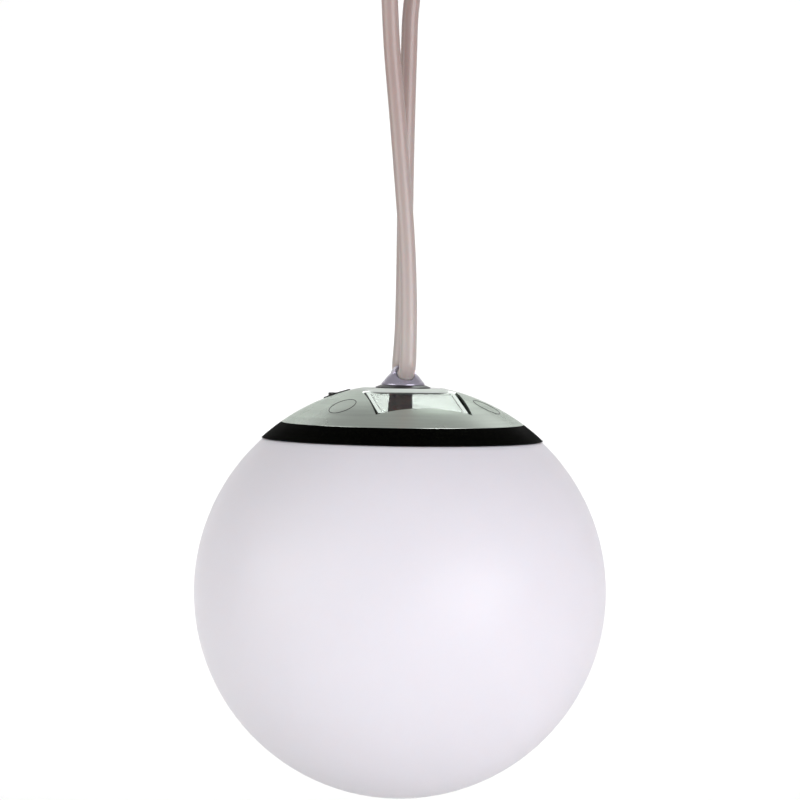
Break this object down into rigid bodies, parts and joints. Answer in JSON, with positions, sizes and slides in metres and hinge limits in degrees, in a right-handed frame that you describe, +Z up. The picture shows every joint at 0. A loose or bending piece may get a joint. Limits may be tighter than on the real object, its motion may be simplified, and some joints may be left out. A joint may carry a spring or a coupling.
{
  "type": "garden globe light",
  "caption": "Hanging solar globe light: milky sphere twisted on to a silver cap with solar panels, button and eye, hung on a looped cord.",
  "frame": {"origin": "top of the hanging loop, inside the loop, where a hook carries it; the lamp's axis is the Z axis", "axes": "+Z up along the lamp's axis, -Y towards the lamp's front, +X to the right seen from the front"},
  "size_m": [0.2, 0.2, 0.478],
  "materials": {
    "globe": "milky white, satin gloss",
    "seal": "matt black",
    "black_shell": "fine matt grain",
    "silver_shell": "silver paint, satin",
    "steel": "plated",
    "panel_frame": "silver paint, satin",
    "solar_cell": "laminated cell",
    "window": "clear, polished",
    "button": "satin black",
    "eye": "polished grey",
    "cell": "plain sleeve",
    "board": "solder mask",
    "components": "moulded",
    "led": "clear, domed",
    "cord": "glossy flexible tube",
    "sleeve": "rolled grooves"
  },
  "bodies": {
    "hanger": {"cord_loop": "cord", "joining_sleeve": "sleeve"},
    "globe": {"globe_shell": "globe"},
    "button": {"switch_button": "button"},
    "lamp": {"globe_seal": "seal", "base_housing": "black_shell", "cap_seal": "seal", "cap_dome": "silver_shell", "screw_plugs": "silver_shell", "cap_screws": "steel", "solar_frame_front": "panel_frame", "solar_cell_front": "solar_cell", "solar_window_front": "window", "solar_frame_back": "panel_frame", "solar_cell_back": "solar_cell", "solar_window_back": "window", "switch_bezel": "black_shell", "switch_body": "black_shell", "hanging_eye": "eye", "eye_seal_washer": "seal", "eye_spring_washer": "steel", "eye_nut": "steel", "battery_holder": "black_shell", "battery_cells": "cell", "battery_contacts": "steel", "control_board": "board", "board_components": "components", "board_screws": "steel", "led_board": "board", "leds": "led", "led_lens": "window", "lens_screws": "steel"}
  },
  "joints": [
    {"name": "lamp_swing", "type": "hinge", "parent": "hanger", "child": "lamp", "pos_m": [0, 0, -0.26551], "axis": [0, 1, 0], "range_deg": [-12, 12]},
    {"name": "globe_twist", "type": "hinge", "parent": "lamp", "child": "globe", "pos_m": [0, 0, -0.37], "axis": [0, 0, 1], "range_deg": [-30, 0]},
    {"name": "button_press", "type": "slide", "parent": "lamp", "child": "button", "axis": [0, 0, -1], "range_m": [0, 0.0012], "stiffness_N_per_m": 600, "springref_m": -0.0008}
  ]
}
